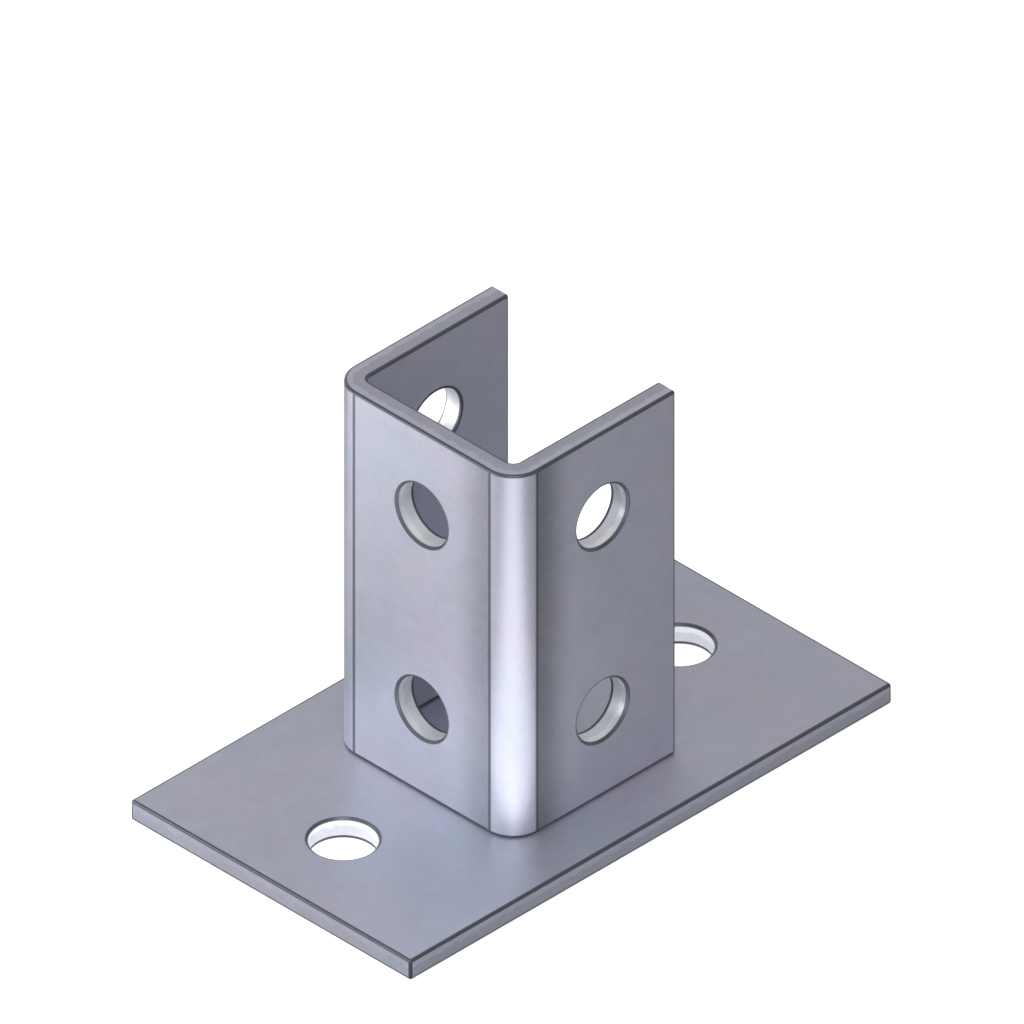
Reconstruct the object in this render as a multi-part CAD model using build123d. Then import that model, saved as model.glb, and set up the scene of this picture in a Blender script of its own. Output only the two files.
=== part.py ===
from build123d import *
import os

# A post base: a rectangular floor plate with a folded U-shaped socket standing on its middle.
# Sizes are in millimetres. X runs along the plate towards the open side of the socket,
# Y runs across it, Z is up, and the origin is the centre of the plate's underside.
inch = 25.4

# Floor plate
plate_length = 5.375 * inch
plate_width = 3.125 * inch
plate_thickness = 0.1875 * inch
anchor_pitch = 3.75 * inch
anchor_hole_diameter = 0.5625 * inch

# Socket
section_side = 1.625 * inch
section_clearance = 0.6
wall_thickness = 0.1875 * inch
inner_bend_radius = 2.0
socket_height = 3.5 * inch
bolt_pitch = 1.875 * inch
bolt_hole_diameter = 0.5625 * inch

# Edges and welds
edge_radius = 0.5
rim_bevel = 0.4
weld_height = 0.125 * inch
web_weld_foot = 0.125 * inch
web_weld_length = 0.75 * inch
flange_weld_foot = 1.9
weld_crown = 0.35

# The pocket is a little wider than it is deep, and is centred on the plate.
pocket_width = section_side + 2 * section_clearance
web_inner_x = -section_side / 2
web_outer_x = web_inner_x - wall_thickness
flange_end_x = section_side / 2
flange_inner_y = pocket_width / 2
flange_outer_y = flange_inner_y + wall_thickness
plate_top_z = plate_thickness
bolt_heights = [plate_top_z + (socket_height + side * bolt_pitch) / 2 for side in (-1, 1)]


def punched_hole(diameter, depth):
    """A cutter for a hole down from the origin along Z, with a bevel where its rim was deburred."""
    radius = diameter / 2
    with BuildPart() as cutter:
        with BuildSketch(Plane.XZ):
            Polygon(
                (0, 0),
                (radius + rim_bevel, 0),
                (radius, -rim_bevel),
                (radius, -depth),
                (0, -depth),
                align=None,
            )
        revolve(axis=Axis.Z)
    return cutter.part


def punch(solid, centre, outward, diameter, depth):
    """The solid with one punched hole, entered at centre from the side that outward points to."""
    return solid - Plane(origin=centre, z_dir=outward) * punched_hole(diameter, depth)


def base_plate():
    """The flat floor plate with one anchor hole near each end."""
    plate = Pos(Z=plate_thickness / 2) * Box(plate_length, plate_width, plate_thickness)
    plate = fillet(plate.edges(), edge_radius)
    for side in (-1, 1):
        centre = (side * anchor_pitch / 2, 0, plate_top_z)
        plate = punch(plate, centre, (0, 0, 1), anchor_hole_diameter, plate_thickness)
    return plate


def channel_socket():
    """The strip folded up into a web and two flanges, with its bolt holes and broken edges."""
    outer_bend_radius = inner_bend_radius + wall_thickness
    with BuildPart() as socket:
        with BuildSketch(Plane.XY.offset(plate_top_z)):
            with BuildLine():
                run = FilletPolyline(
                    (flange_end_x, -flange_outer_y),
                    (web_outer_x, -flange_outer_y),
                    (web_outer_x, flange_outer_y),
                    (flange_end_x, flange_outer_y),
                    radius=outer_bend_radius,
                )
                back = FilletPolyline(
                    (flange_end_x, -flange_inner_y),
                    (web_inner_x, -flange_inner_y),
                    (web_inner_x, flange_inner_y),
                    (flange_end_x, flange_inner_y),
                    radius=inner_bend_radius,
                )
                Line(run @ 0, back @ 0)
                Line(run @ 1, back @ 1)
            make_face()
        extrude(amount=socket_height)
        sheared_edges = socket.edges().group_by(Axis.Z)[-1] + socket.edges().group_by(Axis.Z)[0]
        end_edges = socket.edges().filter_by(Axis.Z).group_by(Axis.X)[-1]
        fillet(sheared_edges + end_edges, edge_radius)
    solid = socket.part
    for height in bolt_heights:
        web_centre = (web_outer_x, 0, height)
        solid = punch(solid, web_centre, (-1, 0, 0), bolt_hole_diameter, wall_thickness)
        for side in (-1, 1):
            flange_centre = (0, side * flange_outer_y, height)
            solid = punch(solid, flange_centre, (0, side, 0), bolt_hole_diameter, wall_thickness)
    return solid


def weld_bead(length, foot):
    """A round-ended fillet bead along Y at the origin, against a wall at X = 0, on a floor at Z = 0."""
    straight = length - 2 * foot
    with BuildSketch(Plane.XZ) as section:
        with BuildLine():
            Polyline((foot, 0), (0, 0), (0, weld_height))
            SagittaArc((0, weld_height), (foot, 0), weld_crown)
        make_face()
    ends = [
        Pos(Y=side * straight / 2) * revolve(section.sketch, axis=Axis.Z, revolution_arc=side * 90)
        for side in (-1, 1)
    ]
    if straight > 0:
        ends.append(extrude(section.sketch, amount=straight / 2, both=True))
    return Part() + ends


def web_weld():
    """The stitch inside the socket, along the middle of the web's foot."""
    return Pos(web_inner_x, 0, plate_top_z) * weld_bead(web_weld_length, web_weld_foot)


def flange_weld(side):
    """The short bead at the foot of one flange's free end, kept to the inner part of the wall."""
    middle_y = side * (flange_inner_y + flange_weld_foot)
    return Pos(flange_end_x, middle_y, plate_top_z) * weld_bead(2 * flange_weld_foot, flange_weld_foot)


parts = {
    "base_plate": base_plate(),
    "channel_socket": channel_socket(),
    "web_weld": web_weld(),
    "near_flange_weld": flange_weld(-1),
    "far_flange_weld": flange_weld(1),
}

os.makedirs("parts", exist_ok=True)
for name, solid in parts.items():
    export_step(solid, f"parts/{name}.step")
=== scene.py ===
import math

import bpy
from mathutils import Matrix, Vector


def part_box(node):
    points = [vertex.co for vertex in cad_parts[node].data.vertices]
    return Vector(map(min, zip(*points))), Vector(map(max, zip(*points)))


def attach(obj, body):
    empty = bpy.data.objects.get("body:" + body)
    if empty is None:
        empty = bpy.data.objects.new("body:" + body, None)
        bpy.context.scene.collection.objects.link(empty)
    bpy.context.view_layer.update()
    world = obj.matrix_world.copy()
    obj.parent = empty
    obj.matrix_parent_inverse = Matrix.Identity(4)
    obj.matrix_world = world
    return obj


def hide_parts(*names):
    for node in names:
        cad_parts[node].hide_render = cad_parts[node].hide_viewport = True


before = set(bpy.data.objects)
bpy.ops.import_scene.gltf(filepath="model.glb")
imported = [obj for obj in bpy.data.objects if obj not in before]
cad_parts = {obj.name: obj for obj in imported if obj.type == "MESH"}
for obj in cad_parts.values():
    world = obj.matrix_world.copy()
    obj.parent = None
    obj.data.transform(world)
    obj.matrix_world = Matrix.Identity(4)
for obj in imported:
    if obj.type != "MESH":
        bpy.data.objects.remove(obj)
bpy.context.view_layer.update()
scene = bpy.context.scene

MM = 0.001
PER_METRE = 1000.0

# Places read from the frame, in millimetres. The web's weld starts at the web's inner face.
PLATE_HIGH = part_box("base_plate")[1] * PER_METRE
SOCKET_LOW, SOCKET_HIGH = (corner * PER_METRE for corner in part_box("channel_socket"))
WEB_INNER_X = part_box("web_weld")[0].x * PER_METRE
PLATE_TOP = PLATE_HIGH.z
WALL = WEB_INNER_X - SOCKET_LOW.x
BOLT_MIDDLE_Z = (SOCKET_LOW.z + SOCKET_HIGH.z) / 2

# Holes and folds of the solids, in millimetres.
INCH = 25.4
ANCHOR_PITCH = 3.75 * INCH
BOLT_PITCH = 1.875 * INCH
HOLE_RADIUS = 0.5625 * INCH / 2
INNER_BEND_RADIUS = 2.0
OUTER_BEND_RADIUS = INNER_BEND_RADIUS + WALL

# How far the dull line along an edge reaches, and half the width of the one along a fold, in millimetres,
# and the share of its reach over which an edge's line is full.
EDGE_REACH = 0.75
FOLD_LINE_REACH = 0.65
EDGE_FULL_SHARE = 0.55

# How far behind a cut face its look starts to fade, and where it is gone, in millimetres.
CUT_START, CUT_END = 0.02, 0.12

# How deep under the socket's skin the marks of its outside start to fade, and where they are gone, and how
# far past the web's inner face a point still counts as the web's, in millimetres.
SKIN_START, SKIN_END = 0.05, 0.3
WEB_MARGIN = 0.3

# How far the painted shade beside the near fold reaches, in millimetres, and how much darker the flange's
# is painted.
NEAR_FOLD_SHADE_REACH = 11.0
FLANGE_EXTRA_PAINTED_SHADE = 0.5

# How much lighter than plain sheet some places are painted, as a share of its colour, as painted light.
# Below 0 they are darker, as painted shade.
# The plate's sides get painted light. The socket's sheared top and foot, and the bands beside its near
# fold, get painted shade.
PLATE_SIDE_PAINTED_LIGHT = 0.13
SHEARED_PAINTED_SHADE = -0.06
NEAR_FOLD_PAINTED_SHADE = -0.36

# How each axis is stretched so that the streaks run along the plate, and round the strip's folds.
PLATE_GRAIN = (0.05, 1.0, 1.0)
STRIP_GRAIN = (0.05, 0.05, 1.0)

# How much a scratch's colour covers the plating, how much rougher it is, and its height in millimetres.
SCRATCH_COVER = 0.35
SCRATCH_ROUGHNESS = -0.06
SCRATCH_HEIGHT = -0.002

# The weld beads and their ripples, in metres.
BEAD_CROWN = 0.00035
RIPPLE_PITCH = 0.0012
RIPPLE_DEPTH = 0.00022

# How far each ripple bows along the bead and strays from its place, as a share of the pitch, and how fast
# it strays, in features per metre.
RIPPLE_BOW = 0.55
RIPPLE_WAVER = 0.7
WAVER_SCALE = 700.0

# The bead's mesh: rings for each ripple, columns over its crown and in all, the share of its rounded end
# that is shaped before the end is closed, and how far a face leans out or up to be shaded smooth.
STEPS_PER_RIPPLE = 12
CROWN_COLUMNS = 14
BEAD_COLUMNS = CROWN_COLUMNS + 2
SHAPED_END = 0.985
CROWN_LEAN = 0.2

# The picture is isometric. Its middle lies a little right of the object's and above the plate's top. All
# four values are in metres.
VIEW_WIDTH = 0.2054
VIEW_RIGHT_SHIFT = 0.00016
VIEW_HEIGHT = 0.05641
CAMERA_DISTANCE = 0.9

# The floor, in metres: half its width, how far it lies under the plate, and the clearance within which it
# lets light through.
FLOOR_HALF = 3.0
FLOOR_DROP = 0.00002
FLOOR_CLEARANCE = 0.0001

# The floor looks white and glows to the camera. Under the plate, from an inset in millimetres within its
# outline, it is white and glows to the walls of the anchor holes too. Elsewhere it lights the steel as a
# grey floor does.
FLOOR_GREY = (0.38, 0.38, 0.39, 1.0)
FLOOR_WHITE = (0.92, 0.92, 0.92, 1.0)
FLOOR_GLOW = 0.58
FLOOR_HOLE_GLOW = 0.45
FLOOR_WHITE_INSET = 2.0

# The strength of the room's even light, and in metres the point that the lamps look at and the height of
# the cards.
ROOM_LIGHT = 0.49
LIT_POINT = Vector((0, 0, 0.045))
CARD_HEIGHT = 0.005

# Colours of the plating, in linear light.
ZINC_BLUE = (0.500, 0.535, 0.625, 1.0)
ZINC_VIOLET = (0.535, 0.530, 0.625, 1.0)
ZINC_DULL = (0.110, 0.115, 0.140, 1.0)
ZINC_WORN = (0.62, 0.62, 0.66, 1.0)
# The walls of the punched holes, painted far lighter than the plating: painted light.
ZINC_PUNCHED_PAINTED_LIGHT = (0.87, 0.885, 0.93, 1.0)
WELD_GREY = (0.40, 0.405, 0.46, 1.0)
WHITE = (1.0, 1.0, 1.0, 1.0)

# How metallic and how rough the finishes are, and how many times the sheet's bumps the weld's are.
SHEET_METALLIC = 0.8
SHEET_ROUGHNESS = 0.44
WELD_METALLIC = 1.0
WELD_ROUGHNESS = 0.46
WELD_COARSENESS = 4.0


class Graph:
    """Short words for placing and joining the nodes of one tree."""

    def __init__(self, tree):
        self.tree = tree

    def add(self, kind, *values, **settings):
        """A new node with its settings, fed by values in the order of its inputs."""
        node = self.tree.nodes.new(kind)
        for name, value in settings.items():
            setattr(node, name, value)
        for socket, value in zip(node.inputs, values):
            self.feed(socket, value)
        return node

    def feed(self, socket, value):
        """Links a socket to another one, or sets its value."""
        if isinstance(value, bpy.types.NodeSocket):
            self.tree.links.new(value, socket)
        else:
            socket.default_value = value

    def maths(self, operation, *values):
        """The result of one sum on values or sockets."""
        return self.add("ShaderNodeMath", *values, operation=operation).outputs[0]

    def spread(self, value, low, high, out_low=0.0, out_high=1.0):
        """A value from low to high carried to out_low to out_high, eased and held at both ends."""
        node = self.add("ShaderNodeMapRange", value, low, high, out_low, out_high)
        node.interpolation_type = "SMOOTHSTEP"
        return node.outputs[0]

    def band(self, value, middle, half_width):
        """1 where value is at middle, falling to 0 at half_width from it."""
        away = self.maths("ABSOLUTE", self.maths("SUBTRACT", value, middle))
        return self.spread(away, 0.0, half_width, 1.0, 0.0)

    def mix(self, factor, first, second, blend="MIX"):
        """The colour first with second over it."""
        node = self.add("ShaderNodeMix", data_type="RGBA", blend_type=blend)
        for index, value in ((0, factor), (6, first), (7, second)):
            self.feed(node.inputs[index], value)
        return node.outputs[2]

    def noise(self, position, scale, detail=2.0, roughness=0.5, distortion=0.0):
        """Noise from 0 to 1. The scale is features per millimetre."""
        node = self.add("ShaderNodeTexNoise")
        self.feed(node.inputs["Vector"], position)
        node.inputs["Scale"].default_value = scale
        node.inputs["Detail"].default_value = detail
        node.inputs["Roughness"].default_value = roughness
        node.inputs["Distortion"].default_value = distortion
        return node.outputs[0]

    def centred(self, value, amount):
        """A value from 0 to 1 made to swing about 0 by amount in all."""
        return self.maths("MULTIPLY", self.maths("SUBTRACT", value, 0.5), amount)

    def stretched(self, position, scale):
        """Position with each axis multiplied."""
        return self.add("ShaderNodeVectorMath", position, scale, operation="MULTIPLY").outputs[0]

    def group(self, tree, **values):
        """A node that holds another tree. Its inputs are fed by name."""
        node = self.add("ShaderNodeGroup", node_tree=tree)
        for name, value in values.items():
            self.feed(node.inputs[name], value)
        return node.outputs


def new_group(name, inputs, outputs):
    """A shader group with named sockets. Gives the tree, its graph and its ends."""
    tree = bpy.data.node_groups.new(name, "ShaderNodeTree")
    kinds = {"position": "NodeSocketVector", "grain": "NodeSocketVector"}
    for word in inputs:
        kind = kinds.get(word, "NodeSocketFloat")
        tree.interface.new_socket(name=word, in_out="INPUT", socket_type=kind)
    for word in outputs:
        tree.interface.new_socket(name=word, in_out="OUTPUT", socket_type="NodeSocketFloat")
    graph = Graph(tree)
    return tree, graph, graph.add("NodeGroupInput").outputs, graph.add("NodeGroupOutput").inputs


def plating_group():
    """Cloudy zinc over rolled sheet. Heights are in millimetres."""
    inputs = ("position", "grain", "clouding", "streaks")
    tree, g, given, out = new_group("zinc_plating", inputs, ("tint", "shade", "roughness", "height"))
    position = given["position"]
    along_grain = g.stretched(position, given["grain"])
    drift = g.noise(position, scale=0.035, detail=3.0, roughness=0.55, distortion=0.4)
    clouds = g.noise(position, scale=0.16, detail=4.0, roughness=0.6, distortion=0.8)
    streaks = g.noise(along_grain, scale=1.0, detail=5.0, roughness=0.65)
    hairlines = g.noise(along_grain, scale=4.5)
    skin = g.noise(position, scale=1.6, detail=3.0, roughness=0.6)
    crystals = g.add("ShaderNodeTexVoronoi")
    g.feed(crystals.inputs["Vector"], position)
    crystals.inputs["Scale"].default_value = 1.3
    facets = g.add("ShaderNodeSeparateXYZ", crystals.outputs["Color"]).outputs[0]

    cloudy = g.maths("MULTIPLY", g.maths("SUBTRACT", clouds, 0.5), given["clouding"])
    streaky = g.maths("MULTIPLY", g.maths("SUBTRACT", streaks, 0.5), given["streaks"])
    swing = g.maths("ADD", g.maths("ADD", cloudy, streaky), g.centred(facets, 0.035))
    g.feed(out["tint"], g.spread(drift, 0.35, 0.65))
    g.feed(out["shade"], g.maths("ADD", swing, 1.0))
    g.feed(out["roughness"], g.maths("MULTIPLY", swing, 0.55))
    grainy = g.maths("ADD", g.centred(skin, 0.0030), g.centred(hairlines, 0.0011))
    g.feed(out["height"], g.maths("ADD", grainy, g.centred(clouds, 0.010)))
    return tree


def scratches_group():
    """Sparse fine handling scratches in two directions, in patches."""
    tree, g, given, out = new_group("scratches", ("position",), ("mask",))
    marks = []
    for turn, stretch in ((0.5, (0.10, 3.2, 0.9)), (-0.9, (0.08, 2.6, 1.2))):
        turned = g.add("ShaderNodeVectorRotate", rotation_type="EULER_XYZ")
        g.feed(turned.inputs["Vector"], given["position"])
        turned.inputs["Rotation"].default_value = (turn, turn * 0.7, turn * 1.3)
        lines = g.noise(g.stretched(turned.outputs[0], stretch), scale=0.55, distortion=0.3)
        marks.append(g.band(lines, 0.5, 0.0045))
    patches = g.spread(g.noise(given["position"], scale=0.11), 0.50, 0.66)
    g.feed(out["mask"], g.maths("MULTIPLY", g.maths("MAXIMUM", *marks), patches))
    return tree


def hole_pair_group():
    """Distance from the nearer of two hole axes, which lie a pitch apart along one direction."""
    tree, g, given, out = new_group("hole_pair", ("along", "across", "pitch"), ("distance",))
    half_pitch = g.maths("MULTIPLY", given["pitch"], 0.5)
    along = g.maths("SUBTRACT", g.maths("ABSOLUTE", given["along"]), half_pitch)
    across_squared = g.maths("MULTIPLY", given["across"], given["across"])
    g.feed(out["distance"], g.maths("SQRT", g.maths("MULTIPLY_ADD", along, along, across_squared)))
    return tree


def cut_face_group():
    """A sheared or punched face: smooth where the tool entered, and torn from about two fifths down."""
    inputs = ("position", "depth", "thickness")
    tree, g, given, out = new_group("cut_face", inputs, ("shade", "roughness", "height"))
    smooth_shade, torn_shade = 0.16, -0.08
    smooth_height, torn_height = 0.006, 0.036
    torn_roughness = 0.10
    part = g.maths("DIVIDE", given["depth"], given["thickness"])
    wander = g.centred(g.noise(given["position"], scale=0.5, detail=3.0), 0.45)
    torn = g.spread(g.maths("ADD", part, wander), 0.34, 0.46)
    drag = g.noise(given["position"], scale=3.2, detail=3.0, roughness=0.6)
    g.feed(out["shade"], g.maths("MULTIPLY_ADD", torn, torn_shade - smooth_shade, smooth_shade))
    g.feed(out["roughness"], g.maths("MULTIPLY", torn, torn_roughness))
    amount = g.maths("MULTIPLY_ADD", torn, torn_height - smooth_height, smooth_height)
    g.feed(out["height"], g.maths("MULTIPLY", g.maths("SUBTRACT", drag, 0.5), amount))
    return tree


def wall_depth_group():
    """How deep a point lies under the socket's outer skin, the lines where its folds begin and end, and
    the bands of painted shade beside the near fold, which are painted darker on the flange."""
    tree, g, given, out = new_group("wall_depth", ("position",), ("depth", "fold_lines", "painted_shade_bands"))
    x, y, _ = g.add("ShaderNodeSeparateXYZ", given["position"]).outputs
    past_x = g.maths("SUBTRACT", SOCKET_LOW.x + OUTER_BEND_RADIUS, x)
    past_y = g.maths("SUBTRACT", g.maths("ABSOLUTE", y), SOCKET_HIGH.y - OUTER_BEND_RADIUS)
    corner_x = g.maths("MAXIMUM", past_x, 0.0)
    corner_y = g.maths("MAXIMUM", past_y, 0.0)
    squares = g.maths("MULTIPLY_ADD", corner_x, corner_x, g.maths("MULTIPLY", corner_y, corner_y))
    flat = g.maths("MINIMUM", g.maths("MAXIMUM", past_x, past_y), 0.0)
    depth = g.maths("SUBTRACT", OUTER_BEND_RADIUS, g.maths("ADD", g.maths("SQRT", squares), flat))
    g.feed(out["depth"], depth)

    # A fold begins or ends where a point passes one of the two starts and is well past the other.
    well_past_x = g.spread(past_x, 0.7, 0.8)
    well_past_y = g.spread(past_y, 0.7, 0.8)
    line_x = g.maths("MULTIPLY", g.band(past_x, 0.0, FOLD_LINE_REACH), well_past_y)
    line_y = g.maths("MULTIPLY", g.band(past_y, 0.0, FOLD_LINE_REACH), well_past_x)
    outside = g.spread(depth, SKIN_START, SKIN_END, 1.0, 0.0)
    g.feed(out["fold_lines"], g.maths("MULTIPLY", g.maths("MAXIMUM", line_x, line_y), outside))

    # Painted shade beside the near fold, on its outside only: it fades over the reach from the fold and is
    # darker on the flange.
    from_fold = g.maths("MULTIPLY", g.maths("MINIMUM", past_x, past_y), -1.0)
    fading = g.spread(from_fold, 0.0, NEAR_FOLD_SHADE_REACH, 1.0, 0.0)
    off_fold = g.spread(from_fold, -0.2, 0.2)
    painted_shade = g.maths("MULTIPLY", fading, off_fold)
    near_outside = g.maths("MULTIPLY", g.maths("LESS_THAN", y, 0.0), outside)
    on_flange = g.maths("GREATER_THAN", past_y, past_x)
    painted_shade_strength = g.maths("MULTIPLY_ADD", on_flange, FLANGE_EXTRA_PAINTED_SHADE, 1.0)
    g.feed(out["painted_shade_bands"], g.maths("MULTIPLY", g.maths("MULTIPLY", painted_shade, near_outside), painted_shade_strength))
    return tree


def edge_group():
    """1 on an edge, where a point is within reach of both of the faces that meet there."""
    tree, g, given, out = new_group("edge", ("first", "second", "reach"), ("mask",))
    farther = g.maths("MAXIMUM", given["first"], given["second"])
    start = g.maths("MULTIPLY", given["reach"], EDGE_FULL_SHARE)
    g.feed(out["mask"], g.spread(farther, start, given["reach"], 1.0, 0.0))
    return tree


PLATING = plating_group()
SCRATCHES = scratches_group()
HOLE_PAIR = hole_pair_group()
CUT_FACE = cut_face_group()
WALL_DEPTH = wall_depth_group()
EDGE = edge_group()


def new_material(name):
    """A new material. Gives it, its graph and its shader."""
    material = bpy.data.materials.new(name)
    material.use_nodes = True
    return material, Graph(material.node_tree), material.node_tree.nodes["Principled BSDF"]


def millimetres(g):
    """The position on the piece, in millimetres."""
    return g.stretched(g.add("ShaderNodeTexCoord").outputs["Object"], (PER_METRE,) * 3)


def greatest(g, *values):
    """The greatest of several values."""
    result = values[0]
    for value in values[1:]:
        result = g.maths("MAXIMUM", result, value)
    return result


def on_cut(g, distance, amount=1.0):
    """An amount on a cut face, where the distance behind it is nil, that soon falls to 0."""
    return g.spread(distance, CUT_START, CUT_END, amount, 0.0)


def add_bump(g, shader, height):
    """Makes a height in millimetres turn the surface's normal."""
    bump = g.add("ShaderNodeBump")
    bump.inputs["Distance"].default_value = MM
    g.feed(bump.inputs["Height"], height)
    g.feed(shader.inputs["Normal"], bump.outputs[0])


def add_steel(g, shader, position, grain, cut, cut_depth, in_hole, edges, painted_light_and_shade):
    """Plated sheet, with its cut faces, punched holes whose walls are painted lighter as painted light,
    dark edges and scratches.
    Cut, in_hole and edges are masks, cut_depth is how far a point lies from the side that the tool came
    from, in millimetres, and painted_light_and_shade is painted light that makes the sheet lighter, and
    painted shade where it is below 0."""
    plating = g.group(PLATING, position=position, grain=grain, clouding=0.16, streaks=0.10)
    face = g.group(CUT_FACE, position=position, depth=cut_depth, thickness=WALL)
    scratches = g.group(SCRATCHES, position=position)["mask"]
    tone = g.maths("MULTIPLY_ADD", face["shade"], cut, plating["shade"])
    tone = g.maths("ADD", painted_light_and_shade, tone)
    grey = g.add("ShaderNodeCombineXYZ", tone, tone, tone).outputs[0]
    # The punched holes' walls take a lighter colour, which is painted light.
    zinc = g.mix(in_hole, g.mix(plating["tint"], ZINC_BLUE, ZINC_VIOLET), ZINC_PUNCHED_PAINTED_LIGHT)
    sheet = g.mix(1.0, zinc, grey, "MULTIPLY")
    scratched = g.mix(g.maths("MULTIPLY", scratches, SCRATCH_COVER), sheet, ZINC_WORN)
    g.feed(shader.inputs["Base Color"], g.mix(edges, scratched, ZINC_DULL))
    shader.inputs["Metallic"].default_value = SHEET_METALLIC
    rough = g.maths("ADD", plating["roughness"], SHEET_ROUGHNESS)
    rough = g.maths("MULTIPLY_ADD", face["roughness"], cut, rough)
    g.feed(shader.inputs["Roughness"], g.maths("MULTIPLY_ADD", scratches, SCRATCH_ROUGHNESS, rough))
    height = g.maths("MULTIPLY_ADD", face["height"], cut, plating["height"])
    add_bump(g, shader, g.maths("MULTIPLY_ADD", scratches, SCRATCH_HEIGHT, height))


def plate_material():
    """The floor plate: rolled along its length, sheared round its outline and punched from above."""
    material, g, shader = new_material("zinc_plated_plate")
    position = millimetres(g)
    x, y, z = g.add("ShaderNodeSeparateXYZ", position).outputs
    from_end = g.maths("SUBTRACT", PLATE_HIGH.x, g.maths("ABSOLUTE", x))
    from_side = g.maths("SUBTRACT", PLATE_HIGH.y, g.maths("ABSOLUTE", y))
    from_outline = g.maths("MINIMUM", from_end, from_side)
    below_top = g.maths("SUBTRACT", PLATE_TOP, z)
    distance = g.group(HOLE_PAIR, along=x, across=y, pitch=ANCHOR_PITCH)["distance"]
    from_hole = g.maths("SUBTRACT", distance, HOLE_RADIUS)
    from_face = g.maths("MINIMUM", below_top, z)
    rims = g.group(EDGE, first=from_hole, second=from_face, reach=EDGE_REACH)["mask"]
    outline = g.group(EDGE, first=from_outline, second=from_face, reach=EDGE_REACH)["mask"]
    corners = g.group(EDGE, first=from_end, second=from_side, reach=EDGE_REACH)["mask"]
    edges = greatest(g, rims, outline, corners)
    cut = on_cut(g, g.maths("MINIMUM", from_outline, from_hole))
    in_hole = on_cut(g, from_hole)
    # The plate's sheared sides are painted lighter: painted light.
    painted_light_and_shade = on_cut(g, from_outline, PLATE_SIDE_PAINTED_LIGHT)
    add_steel(g, shader, position, PLATE_GRAIN, cut, below_top, in_hole, edges, painted_light_and_shade)
    return material


def socket_material():
    """The folded strip: its grain runs round the folds, and its foot, top and ends are sheared."""
    material, g, shader = new_material("zinc_plated_strip")
    position = millimetres(g)
    x, y, z = g.add("ShaderNodeSeparateXYZ", position).outputs
    wall = g.group(WALL_DEPTH, position=position)
    depth = wall["depth"]
    from_skin = g.maths("MINIMUM", depth, g.maths("SUBTRACT", WALL, depth))
    from_top = g.maths("SUBTRACT", SOCKET_HIGH.z, z)
    from_foot = g.maths("SUBTRACT", z, SOCKET_LOW.z)
    from_sheared = g.maths("MINIMUM", from_top, from_foot)
    from_end = g.maths("SUBTRACT", SOCKET_HIGH.x, x)
    up = g.maths("SUBTRACT", z, BOLT_MIDDLE_Z)
    # The web's holes are measured along Y and the flanges' along X.
    in_web = g.maths("LESS_THAN", x, WEB_INNER_X + WEB_MARGIN)
    across = g.maths("MULTIPLY_ADD", in_web, g.maths("SUBTRACT", y, x), x)
    distance = g.group(HOLE_PAIR, along=up, across=across, pitch=BOLT_PITCH)["distance"]
    from_hole = g.maths("SUBTRACT", distance, HOLE_RADIUS)
    sheared = g.group(EDGE, first=from_sheared, second=from_skin, reach=EDGE_REACH)["mask"]
    ends = g.group(EDGE, first=from_end, second=from_skin, reach=EDGE_REACH)["mask"]
    rims = g.group(EDGE, first=from_hole, second=from_skin, reach=EDGE_REACH)["mask"]
    edges = greatest(g, sheared, ends, rims, wall["fold_lines"])
    nearest = g.maths("MINIMUM", g.maths("MINIMUM", from_hole, from_sheared), from_end)
    cut = on_cut(g, nearest)
    in_hole = on_cut(g, from_hole)
    # Painted shade on the socket: darker bands beside the near fold, and a darker sheared top and foot.
    painted_light_and_shade = g.maths("MULTIPLY_ADD", wall["painted_shade_bands"], NEAR_FOLD_PAINTED_SHADE, on_cut(g, from_sheared, SHEARED_PAINTED_SHADE))
    add_steel(g, shader, position, STRIP_GRAIN, cut, depth, in_hole, edges, painted_light_and_shade)
    return material


def weld_material():
    """The bead: greyer, rougher metal under the same plating."""
    material, g, shader = new_material("plated_weld_bead")
    position = millimetres(g)
    plating = g.group(PLATING, position=position, grain=(1.0, 1.0, 1.0), clouding=0.3, streaks=0.1)
    tone = plating["shade"]
    grey = g.add("ShaderNodeCombineXYZ", tone, tone, tone).outputs[0]
    g.feed(shader.inputs["Base Color"], g.mix(1.0, WELD_GREY, grey, "MULTIPLY"))
    shader.inputs["Metallic"].default_value = WELD_METALLIC
    g.feed(shader.inputs["Roughness"], g.maths("ADD", plating["roughness"], WELD_ROUGHNESS))
    add_bump(g, shader, g.maths("MULTIPLY", plating["height"], WELD_COARSENESS))
    return material


def new_bead_tree():
    """An empty geometry tree with the weld bead's named inputs. Gives it, its graph and its inputs."""
    tree = bpy.data.node_groups.new("weld_bead", "GeometryNodeTree")
    kinds = {"centre": "NodeSocketVector", "steps": "NodeSocketInt", "seed": "NodeSocketInt"}
    kinds |= {word: "NodeSocketFloat" for word in ("length", "foot", "height", "crown")}
    kinds |= {"ripple pitch": "NodeSocketFloat", "ripple depth": "NodeSocketFloat"}
    kinds["material"] = "NodeSocketMaterial"
    for word, kind in kinds.items():
        tree.interface.new_socket(name=word, in_out="INPUT", socket_type=kind)
    tree.interface.new_socket(name="bead", in_out="OUTPUT", socket_type="NodeSocketGeometry")
    graph = Graph(tree)
    return tree, graph, graph.add("NodeGroupInput").outputs


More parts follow.
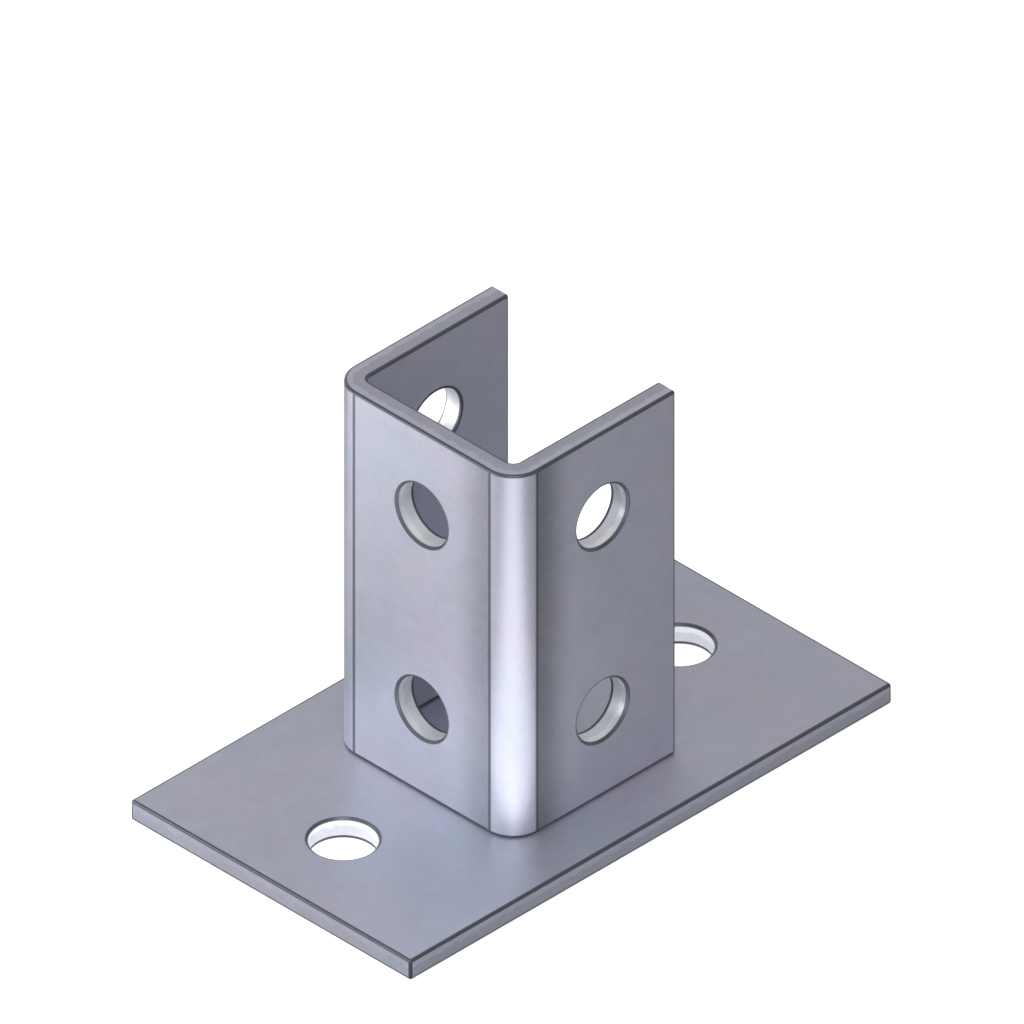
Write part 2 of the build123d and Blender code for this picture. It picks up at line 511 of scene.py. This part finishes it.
def place_in_tube(g):
    """Where a point of the upright tube belongs on the bead: how far up the crown, from 0 to 1, whether it
    is on the crown or in the corner, and how high it is in the tube."""
    x, y, z = g.add("ShaderNodeSeparateXYZ", g.add("GeometryNodeInputPosition").outputs[0]).outputs
    turn = g.maths("DIVIDE", g.maths("ARCTAN2", y, x), 2 * math.pi)
    steps_round = g.maths("ROUND", g.maths("MULTIPLY_ADD", turn, BEAD_COLUMNS, BEAD_COLUMNS))
    column = g.maths("MODULO", steps_round, BEAD_COLUMNS)
    rise = g.maths("MINIMUM", g.maths("DIVIDE", column, CROWN_COLUMNS), 1.0)
    return rise, g.maths("LESS_THAN", column, CROWN_COLUMNS + 0.5), z


def crown_section(g, given, rise):
    """How far a point of the crown lies from the wall and from the plate."""
    foot, height = given["foot"], given["height"]
    fall = g.maths("SUBTRACT", 1.0, rise)
    swell = g.maths("MULTIPLY", g.maths("MULTIPLY", g.maths("MULTIPLY", rise, fall), 4.0), given["crown"])
    slant = g.maths("SQRT", g.maths("MULTIPLY_ADD", foot, foot, g.maths("MULTIPLY", height, height)))
    out_x = g.maths("DIVIDE", g.maths("MULTIPLY", swell, height), slant)
    out_z = g.maths("DIVIDE", g.maths("MULTIPLY", swell, foot), slant)
    return g.maths("MULTIPLY_ADD", fall, foot, out_x), g.maths("MULTIPLY_ADD", rise, height, out_z)


def rippled(g, given, along, rise):
    """The share of the section that the ripples' grooves leave."""
    spread_out = g.maths("SUBTRACT", g.maths("MULTIPLY", rise, 2.0), 1.0)
    bow = g.maths("MULTIPLY", g.maths("MULTIPLY", spread_out, spread_out), RIPPLE_BOW)
    waver = g.add("ShaderNodeTexNoise", noise_dimensions="4D")
    g.feed(waver.inputs["W"], given["seed"])
    waver.inputs["Scale"].default_value = WAVER_SCALE
    phase = g.maths("ADD", g.maths("DIVIDE", along, given["ripple pitch"]), bow)
    phase = g.maths("ADD", phase, g.centred(waver.outputs[0], RIPPLE_WAVER))
    crest = g.maths("ABSOLUTE", g.maths("SINE", g.maths("MULTIPLY", phase, math.pi)))
    groove = g.maths("SUBTRACT", 1.0, crest)
    sunk = g.maths("DIVIDE", g.maths("MULTIPLY", groove, given["ripple depth"]), given["foot"])
    return g.maths("SUBTRACT", 1.0, sunk)


def rounded_end(g, given, along):
    """The shares of the section's foot and height that are left past the bead's straight part."""
    straight = g.maths("SUBTRACT", g.maths("MULTIPLY", given["length"], 0.5), given["foot"])
    past = g.maths("SUBTRACT", g.maths("ABSOLUTE", along), straight)
    share_past = g.maths("MAXIMUM", g.maths("DIVIDE", past, given["foot"]), 0.0)
    ending = g.maths("MINIMUM", share_past, SHAPED_END)
    height_left = g.maths("SUBTRACT", 1.0, g.maths("MULTIPLY", ending, ending))
    return g.maths("SQRT", height_left), height_left


def weld_bead_tree():
    """A fillet weld along Y from its inner corner. Its ripples are crescents that follow one another."""
    tree, g, given = new_bead_tree()
    # The bead starts as an upright tube. Its columns become the section and its rings follow the weld.
    tube = g.add("GeometryNodeMeshCylinder", BEAD_COLUMNS, given["steps"], 1, 1.0, 1.0, fill_type="NGON")
    rise, on_crown, height_in_tube = place_in_tube(g)
    along = g.maths("MULTIPLY", g.maths("MULTIPLY", height_in_tube, -1.0), given["length"])
    foot_left, height_left = rounded_end(g, given, along)
    size = g.maths("MULTIPLY", rippled(g, given, along, rise), on_crown)
    from_wall, from_plate = crown_section(g, given, rise)
    from_wall = g.maths("MULTIPLY", g.maths("MULTIPLY", from_wall, foot_left), size)
    from_plate = g.maths("MULTIPLY", g.maths("MULTIPLY", from_plate, height_left), size)
    point = g.add("ShaderNodeCombineXYZ", from_wall, along, from_plate).outputs[0]
    point = g.add("ShaderNodeVectorMath", point, given["centre"], operation="ADD").outputs[0]

    placed = g.add("GeometryNodeSetPosition")
    g.feed(placed.inputs["Geometry"], tube.outputs["Mesh"])
    g.feed(placed.inputs["Position"], point)
    leaning = g.add("ShaderNodeSeparateXYZ", g.add("GeometryNodeInputNormal").outputs[0]).outputs
    on_outside = g.maths("GREATER_THAN", g.maths("ADD", leaning[0], leaning[2]), CROWN_LEAN)
    smooth = g.add("GeometryNodeSetShadeSmooth", placed.outputs[0], on_outside, True, domain="FACE")
    whole = g.add("GeometryNodeRealizeInstances", smooth.outputs[0])
    finished = g.add("GeometryNodeSetMaterial")
    g.feed(finished.inputs["Geometry"], whole.outputs[0])
    g.feed(finished.inputs["Material"], given["material"])
    g.feed(g.add("NodeGroupOutput").inputs[0], finished.outputs[0])
    return tree


def lay_bead(node, tree, material, seed):
    """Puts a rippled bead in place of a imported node, within its box."""
    low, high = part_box(node)
    reach = high - low
    values = {
        "centre": (low.x, (low.y + high.y) / 2, low.z),
        "length": reach.y, "foot": reach.x, "height": reach.z, "crown": BEAD_CROWN,
        "ripple pitch": RIPPLE_PITCH, "ripple depth": RIPPLE_DEPTH,
        "steps": round(reach.y / RIPPLE_PITCH * STEPS_PER_RIPPLE), "seed": seed, "material": material,
    }
    bead = bpy.data.objects.new(node + "_bead", bpy.data.meshes.new(node + "_bead"))
    scene.collection.objects.link(bead)
    modifier = bead.modifiers.new("bead", "NODES")
    modifier.node_group = tree
    for socket in tree.interface.items_tree:
        if socket.in_out == "INPUT":
            modifier[socket.identifier] = values[socket.name]
    shaped = bead.evaluated_get(bpy.context.evaluated_depsgraph_get())
    bead.data = bpy.data.meshes.new_from_object(shaped)
    # The tube comes with an empty slot before the material.
    bead.data.materials.pop(index=0)
    bead.modifiers.clear()
    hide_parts(node)
    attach(bead, "root")


def add_lamp(name, place, size, power):
    """A square soft lamp at place, which the camera doesn't see. It shines down until it is turned."""
    lamp = bpy.data.lights.new(name, "AREA")
    lamp.shape = "SQUARE"
    lamp.size = size
    lamp.energy = power
    holder = bpy.data.objects.new(name, lamp)
    holder.location = place
    holder.visible_camera = False
    scene.collection.objects.link(holder)
    return holder


def area_light(name, place, size, power):
    """A soft lamp at place that looks at the object's middle."""
    towards = LIT_POINT - Vector(place)
    add_lamp(name, place, size, power).rotation_euler = towards.to_track_quat("-Z", "Y").to_euler()


def floor_card(name, x, y, size, turn, power):
    """A card of light that lies face up, just over the plate's height. It lights the upright faces, and
    neither the plate nor its sides."""
    add_lamp(name, (x, y, CARD_HEIGHT), size, power).rotation_euler = (math.pi, 0, turn)


def make_camera():
    """An orthographic camera that looks along (1, 1, -1), so that the three axes show alike."""
    towards = Vector((1, 1, -1)).normalized()
    right = Vector((1, -1, 0)).normalized()
    target = Vector((0, 0, PLATE_TOP * MM + VIEW_HEIGHT)) + right * VIEW_RIGHT_SHIFT
    lens = bpy.data.cameras.new("camera")
    lens.type = "ORTHO"
    lens.ortho_scale = VIEW_WIDTH
    holder = bpy.data.objects.new("camera", lens)
    holder.location = target - towards * CAMERA_DISTANCE
    holder.rotation_euler = towards.to_track_quat("-Z", "Y").to_euler()
    scene.collection.objects.link(holder)
    scene.camera = holder


def add_floor_sheet():
    """The floor's flat square, with a material of its own. Gives its object, the material's graph, its
    shader and its output."""
    half = FLOOR_HALF
    corners = [(x, y, -FLOOR_DROP) for x, y in ((-half, -half), (half, -half), (half, half), (-half, half))]
    mesh = bpy.data.meshes.new("floor")
    mesh.from_pydata(corners, [], [(0, 1, 2, 3)])
    material, g, shader = new_material("floor")
    mesh.materials.append(material)
    floor = bpy.data.objects.new("floor", mesh)
    scene.collection.objects.link(floor)
    return floor, g, shader, material.node_tree.nodes["Material Output"]


def make_floor():
    """A wide pale floor. It looks white, and it lights the steel as a grey one does, but the walls of the
    anchor holes as a white one. It can't be seen from below, and it lets light up to the plate's underside,
    which lies closer to it than the clearance."""
    floor, g, shader, output = add_floor_sheet()
    path = g.add("ShaderNodeLightPath").outputs
    x, y, _ = g.add("ShaderNodeSeparateXYZ", millimetres(g)).outputs
    within_length = g.maths("LESS_THAN", g.maths("ABSOLUTE", x), PLATE_HIGH.x - FLOOR_WHITE_INSET)
    within_width = g.maths("LESS_THAN", g.maths("ABSOLUTE", y), PLATE_HIGH.y - FLOOR_WHITE_INSET)
    in_holes = g.maths("MULTIPLY", within_length, within_width)
    white = g.maths("MAXIMUM", path["Is Camera Ray"], in_holes)
    g.feed(shader.inputs["Base Color"], g.mix(white, FLOOR_GREY, FLOOR_WHITE))
    shader.inputs["Roughness"].default_value = 1.0
    shader.inputs["Specular IOR Level"].default_value = 0.0
    shader.inputs["Emission Color"].default_value = WHITE
    seen_glow = g.maths("MULTIPLY", path["Is Camera Ray"], FLOOR_GLOW)
    glow = g.maths("MAXIMUM", seen_glow, g.maths("MULTIPLY", in_holes, FLOOR_HOLE_GLOW))
    g.feed(shader.inputs["Emission Strength"], glow)
    from_below = g.add("ShaderNodeNewGeometry").outputs["Backfacing"]
    under_plate = g.maths("LESS_THAN", path["Ray Length"], FLOOR_CLEARANCE)
    open_to_light = g.maths("MAXIMUM", from_below, under_plate)
    clear = g.add("ShaderNodeBsdfTransparent").outputs[0]
    surface = g.add("ShaderNodeMixShader", open_to_light, shader.outputs[0], clear).outputs[0]
    g.feed(output.inputs["Surface"], surface)


def make_room():
    """An even pale room, which the camera sees as plain white."""
    world = bpy.data.worlds.new("studio")
    scene.world = world
    world.use_nodes = True
    g = Graph(world.node_tree)
    seen = g.add("ShaderNodeLightPath").outputs["Is Camera Ray"]
    background = world.node_tree.nodes["Background"]
    background.inputs["Color"].default_value = WHITE
    g.feed(background.inputs["Strength"], g.maths("MAXIMUM", seen, ROOM_LIGHT))


def make_lights():
    """Soft lamps round the object, and cards near the floor that show in the near fold and the web.
    Places and sizes are in metres, and powers in watts."""
    area_light("left_light", (-0.85, 0.30, 0.20), size=0.7, power=4.2)
    area_light("near_left_light", (-0.15, 0.15, 0.05), size=0.05, power=0.09)
    area_light("low_front_light", (-0.45, -0.45, 0.03), size=0.05, power=0.55)
    area_light("high_front_light", (-0.5, -0.5, 0.9), size=0.3, power=3.8)
    area_light("right_light", (0.9, -0.1, 0.2), size=0.6, power=0.8)
    area_light("rear_light", (0.15, 0.9, 0.30), size=0.5, power=1.6)
    floor_card("near_fold_card", x=-0.064, y=-0.064, size=0.10, turn=math.pi / 4, power=0.046)
    floor_card("front_card", x=-0.125, y=-0.125, size=0.12, turn=math.pi / 4, power=0.046)
    floor_card("left_card", x=-0.15, y=0.10, size=0.14, turn=0.0, power=0.024)


def dress(name, material):
    """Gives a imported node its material."""
    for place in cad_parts[name].material_slots:
        place.material = material


make_camera()
make_floor()
make_room()
make_lights()
scene.view_settings.view_transform = "Standard"

dress("base_plate", plate_material())
dress("channel_socket", socket_material())
bead_finish = weld_material()
bead_shape = weld_bead_tree()
for seed, node in enumerate(("web_weld", "near_flange_weld", "far_flange_weld")):
    lay_bead(node, bead_shape, bead_finish, seed)
